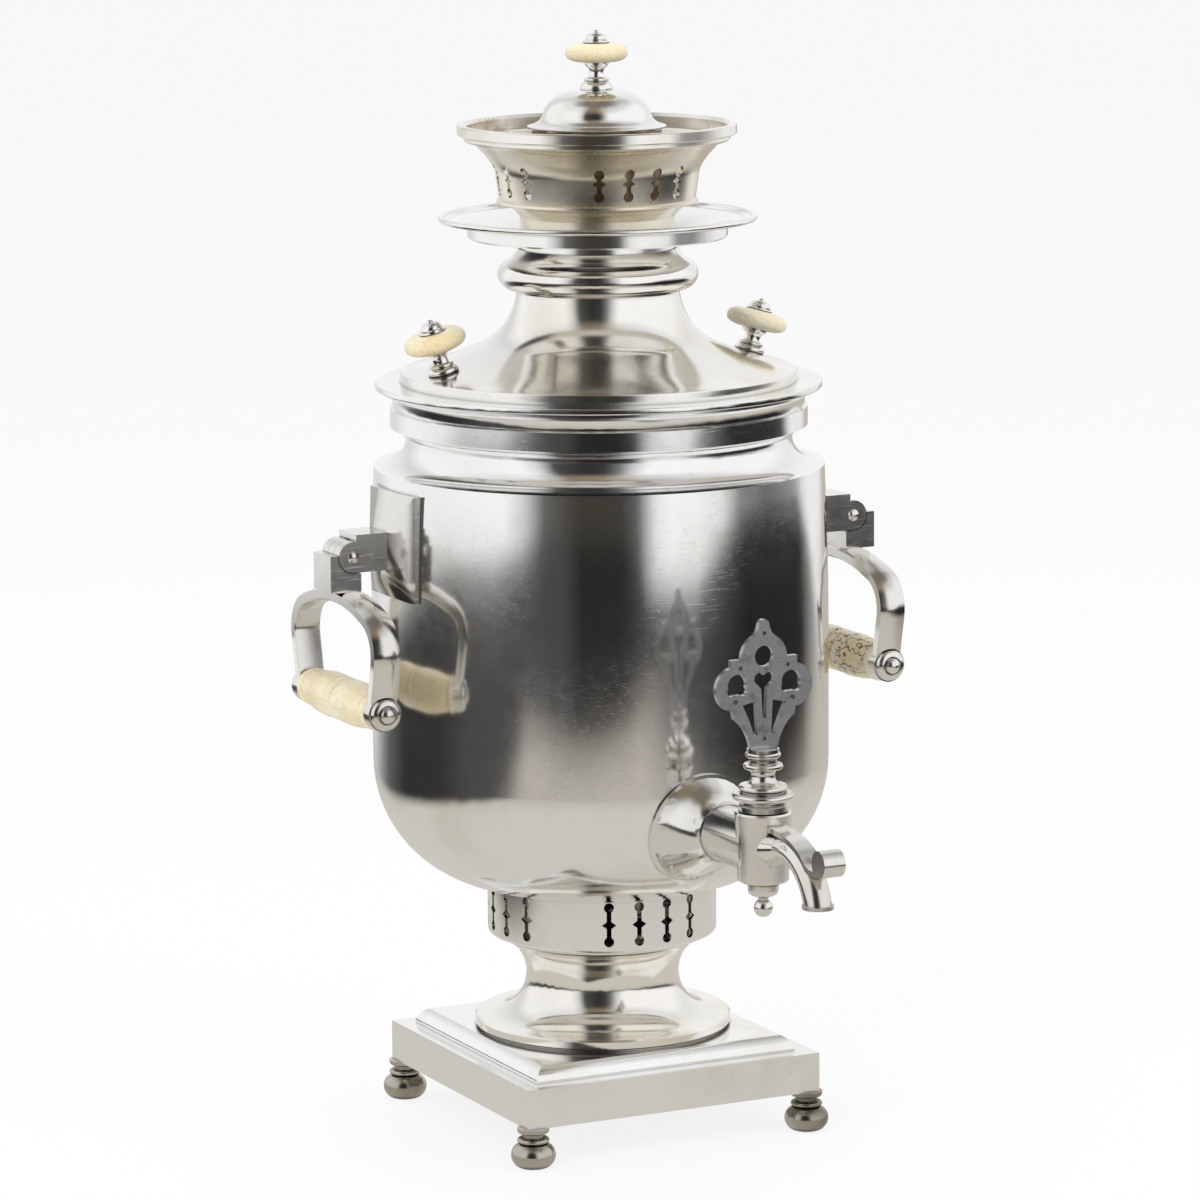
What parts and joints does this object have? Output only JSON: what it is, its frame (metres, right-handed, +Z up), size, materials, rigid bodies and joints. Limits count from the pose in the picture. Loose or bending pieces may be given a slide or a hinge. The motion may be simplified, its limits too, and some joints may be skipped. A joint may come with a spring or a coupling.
{
  "type": "samovar",
  "caption": "Charcoal samovar on a square plinth, with hinged ring handles, a plug tap, a lift-off lid, drip tray, vented teapot crown and chimney cap.",
  "frame": {"origin": "on the vertical axis of the urn, in the plane of the soles of its feet", "axes": "+Z up, the tap points along -Y, the handles are at +X and -X, and the key stands shut, its plate across the tap"},
  "size_m": [0.2698, 0.3205, 0.4904],
  "materials": {
    "plated": "polished",
    "plated_inner": "satin",
    "bare_brass": "satin",
    "cast_grate": "matte",
    "ivory_coloured": "satin"
  },
  "bodies": {
    "stand": {"plinth": "plated", "base_plate": "plated_inner", "foot_front_left": "plated", "foot_front_right": "plated", "foot_back_left": "plated", "foot_back_right": "plated", "pedestal": "plated", "vent_collar": "plated", "grate": "cast_grate", "fire_tube": "bare_brass", "body_shell": "plated", "neck_ring": "plated", "bracket_left": "plated", "bracket_right": "plated", "bracket_nuts": "bare_brass", "hinge_pin_left": "plated", "hinge_pin_right": "plated", "tap_rosette": "plated", "tap_body": "plated", "tap_washer": "bare_brass", "tap_nut": "bare_brass"},
    "key": {"tap_key": "plated", "tap_key_washer": "bare_brass", "tap_key_nut": "plated"},
    "handle_left": {"handle_bow_left": "plated", "grip_left": "ivory_coloured", "grip_rod_left": "plated", "grip_nut_left": "plated"},
    "handle_right": {"handle_bow_right": "plated", "grip_right": "ivory_coloured", "grip_rod_right": "plated", "grip_nut_right": "plated"},
    "lid": {"lid": "plated", "lid_knob_stem_left": "plated", "lid_knob_stem_right": "plated", "lid_knob_disc_left": "ivory_coloured", "lid_knob_disc_right": "ivory_coloured", "lid_knob_cap_left": "plated", "lid_knob_cap_right": "plated", "lid_knob_nuts": "bare_brass", "steam_vent": "plated", "steam_vent_pin": "plated"},
    "steam_flap": {"steam_vent_flap": "plated"},
    "drip_tray": {"drip_tray": "plated"},
    "crown": {"crown": "plated", "crown_flue": "bare_brass"},
    "chimney_cap": {"chimney_cap": "plated", "cap_knob_stem": "plated", "cap_knob_disc": "ivory_coloured", "cap_knob_cap": "plated", "cap_knob_nut": "bare_brass"}
  },
  "joints": [
    {"name": "key_turn", "type": "hinge", "parent": "stand", "child": "key", "pos_m": [0, -0.1548, 0.1525], "axis": [0, 0, 1], "continuous": true},
    {"name": "handle_left_swing", "type": "hinge", "parent": "stand", "child": "handle_left", "pos_m": [-0.1241, 0, 0.2665], "axis": [0, 1, 0], "range_deg": [0, 90]},
    {"name": "handle_right_swing", "type": "hinge", "parent": "stand", "child": "handle_right", "pos_m": [0.1241, 0, 0.2665], "axis": [0, -1, 0], "range_deg": [0, 90]},
    {"name": "lid_lift", "type": "slide", "parent": "stand", "child": "lid", "axis": [0, 0, 1], "range_m": [0, 0.1]},
    {"name": "steam_flap_swing", "type": "hinge", "parent": "lid", "child": "steam_flap", "pos_m": [0, 0.07495, 0.35414], "axis": [-1, 0, 0], "range_deg": [0, 100]},
    {"name": "drip_tray_lift", "type": "slide", "parent": "lid", "child": "drip_tray", "axis": [0, 0, 1], "range_m": [0, 0.04]},
    {"name": "crown_lift", "type": "slide", "parent": "drip_tray", "child": "crown", "axis": [0, 0, 1], "range_m": [0, 0.04]},
    {"name": "chimney_cap_lift", "type": "slide", "parent": "crown", "child": "chimney_cap", "axis": [0, 0, 1], "range_m": [0, 0.04]}
  ]
}
